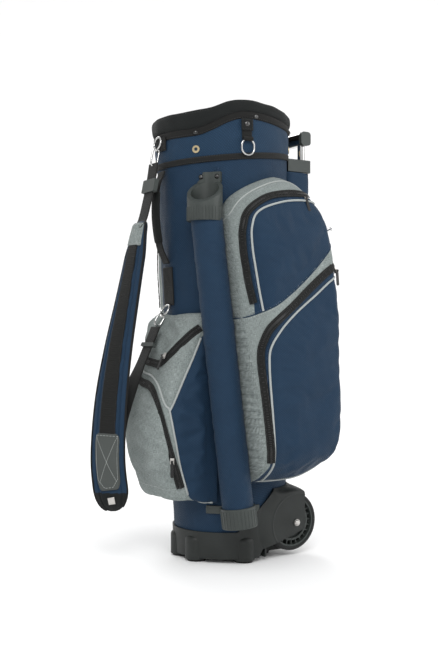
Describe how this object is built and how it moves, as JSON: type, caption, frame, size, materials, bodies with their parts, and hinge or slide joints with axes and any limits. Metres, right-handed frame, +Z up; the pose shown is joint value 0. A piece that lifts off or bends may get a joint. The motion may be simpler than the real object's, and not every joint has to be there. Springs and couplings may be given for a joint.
{
  "type": "wheeled golf cart bag",
  "caption": "Wheeled golf bag with divider top, outside putter tube, zipped pockets, shoulder strap and telescopic pull handle.",
  "frame": {"origin": "on the floor under the centre of the base", "axes": "+Z up, +X towards the wheels and the pull handle, -X towards the shoulder strap, -Y towards the side with the putter tube"},
  "size_m": [0.4572, 0.4122, 0.8922],
  "materials": {
    "navy_fabric": "woven polyester, matt",
    "navy_dobby": "dotted dobby weave polyester",
    "grey_heather": "heather woven polyester",
    "black_padding": "padded knit fabric",
    "black_webbing": "ribbed polyester webbing",
    "black_binding": "ribbed binding tape",
    "divider_fabric": "nylon",
    "base_plastic": "moulded polypropylene, fine texture",
    "grey_plastic": "moulded nylon",
    "black_plastic": "moulded acetal",
    "chrome_steel": "polished chrome plate",
    "black_steel": "steel with a black nickel finish",
    "zinc_metal": "nickel plated zinc",
    "brass": "antique brass",
    "tube_aluminium": "anodised tube",
    "tyre_rubber": "soft thermoplastic rubber",
    "foot_rubber": "soft rubber pad",
    "spring_steel": "spring steel"
  },
  "bodies": {
    "bag": {"base_cup": "base_plastic", "base_feet": "foot_rubber", "wheel_housing_near": "base_plastic", "wheel_housing_far": "base_plastic", "housing_screws": "zinc_metal", "wheel_axle": "zinc_metal", "axle_nuts": "zinc_metal", "body_fabric": "navy_fabric", "cuff_band": "navy_dobby", "webbing_band": "black_webbing", "collar_binding": "black_binding", "top_collar": "black_padding", "divider_ring": "black_plastic", "divider_bars": "black_plastic", "divider_panels": "divider_fabric", "stay_rods": "tube_aluminium", "hood_snap_studs": "black_steel", "hood_snap_sockets": "brass", "putter_tube": "navy_fabric", "putter_ring": "grey_plastic", "putter_cup": "grey_plastic", "putter_bracket": "grey_plastic", "dome_rivets": "black_steel", "side_pocket_near": "navy_fabric", "side_pocket_far": "navy_fabric", "front_pocket": "grey_heather", "zip_sliders": "zinc_metal", "towel_tab": "black_plastic", "towel_webbing": "black_webbing", "strap_anchors": "black_webbing", "strap_rings": "chrome_steel", "handle_bracket": "grey_plastic", "handle_anchor": "grey_plastic", "handle_sleeve": "navy_fabric", "handle_outer_tubes": "tube_aluminium"},
    "wheel_near": {"rim_near": "grey_plastic", "tyre_near": "tyre_rubber", "bush_near": "black_plastic"},
    "wheel_far": {"rim_far": "grey_plastic", "tyre_far": "tyre_rubber", "bush_far": "black_plastic"},
    "handle_stage_1": {"handle_mid_tubes": "chrome_steel"},
    "handle_stage_2": {"handle_inner_tubes": "chrome_steel", "handle_grip": "chrome_steel", "grip_end_caps": "grey_plastic", "release_spring": "spring_steel"},
    "release_button": {"release_button": "black_plastic"},
    "towel_ring": {"towel_ring": "chrome_steel"},
    "grab_handle": {"grab_handle": "black_webbing"},
    "shoulder_strap": {"strap_hooks": "chrome_steel", "strap_sliders": "grey_plastic", "strap_webbing_upper": "black_webbing", "strap_webbing_lower": "black_webbing", "strap_pad": "navy_fabric"},
    "near_zip_pull_upper": {"near_zip_pull_upper": "black_plastic"},
    "near_zip_pull_lower": {"near_zip_pull_lower": "black_plastic"},
    "far_zip_pull_upper": {"far_zip_pull_upper": "black_plastic"},
    "far_zip_pull_lower": {"far_zip_pull_lower": "black_plastic"},
    "front_zip_pull_upper": {"front_zip_pull_upper": "black_plastic"},
    "front_zip_pull_lower": {"front_zip_pull_lower": "black_plastic"}
  },
  "joints": [
    {"name": "wheel_near_spin", "type": "hinge", "parent": "bag", "child": "wheel_near", "pos_m": [0.082, -0.091, 0.069], "axis": [0, 1, 0], "continuous": true},
    {"name": "wheel_far_spin", "type": "hinge", "parent": "bag", "child": "wheel_far", "pos_m": [0.082, 0.091, 0.069], "axis": [0, 1, 0], "continuous": true},
    {"name": "handle_extend_1", "type": "slide", "parent": "bag", "child": "handle_stage_1", "axis": [0, 0, 1], "range_m": [0, 0.22]},
    {"name": "handle_extend_2", "type": "slide", "parent": "handle_stage_1", "child": "handle_stage_2", "axis": [0, 0, 1], "range_m": [0, 0.23]},
    {"name": "release_button_press", "type": "slide", "parent": "handle_stage_2", "child": "release_button", "axis": [0, 0, -1], "range_m": [0, 0.0035], "stiffness_N_per_m": 800, "springref_m": -0.0005, "deforming": ["release_spring"]},
    {"name": "towel_ring_swing", "type": "hinge", "parent": "bag", "child": "towel_ring", "pos_m": [-0.04084, -0.12695, 0.8165], "axis": [-0.9912, 0.1327, 0], "range_deg": [0, 80]},
    {"name": "grab_handle_swing", "type": "hinge", "parent": "bag", "child": "grab_handle", "pos_m": [-0.14872, 0, 0.586], "axis": [-0.0538, 0, 0.9986], "range_deg": [-12, 12]},
    {"name": "strap_swing", "type": "hinge", "parent": "bag", "child": "shoulder_strap", "pos_m": [-0.1588, 0, 0.47829], "axis": [-0.0368, 0, 0.9993], "range_deg": [-10, 10]},
    {"name": "near_zip_pull_upper_lift", "type": "hinge", "parent": "bag", "child": "near_zip_pull_upper", "pos_m": [0.066, -0.1695, 0.706], "axis": [-1, 0, 0], "range_deg": [0, 75]},
    {"name": "near_zip_pull_lower_lift", "type": "hinge", "parent": "bag", "child": "near_zip_pull_lower", "pos_m": [0.119, -0.198, 0.566], "axis": [-0.9951, -0.0985, 0.0099], "range_deg": [0, 75]},
    {"name": "far_zip_pull_upper_lift", "type": "hinge", "parent": "bag", "child": "far_zip_pull_upper", "pos_m": [0.066, 0.1695, 0.706], "axis": [1, 0, 0], "range_deg": [0, 75]},
    {"name": "far_zip_pull_lower_lift", "type": "hinge", "parent": "bag", "child": "far_zip_pull_lower", "pos_m": [0.119, 0.198, 0.566], "axis": [0.9951, -0.0985, -0.0099], "range_deg": [0, 75]},
    {"name": "front_zip_pull_upper_lift", "type": "hinge", "parent": "bag", "child": "front_zip_pull_upper", "pos_m": [-0.1855, -0.052, 0.403], "axis": [0, 1, 0], "range_deg": [0, 75]},
    {"name": "front_zip_pull_lower_lift", "type": "hinge", "parent": "bag", "child": "front_zip_pull_lower", "pos_m": [-0.1815, -0.082, 0.203], "axis": [-0.8147, 0.5798, 0], "range_deg": [0, 75]}
  ]
}
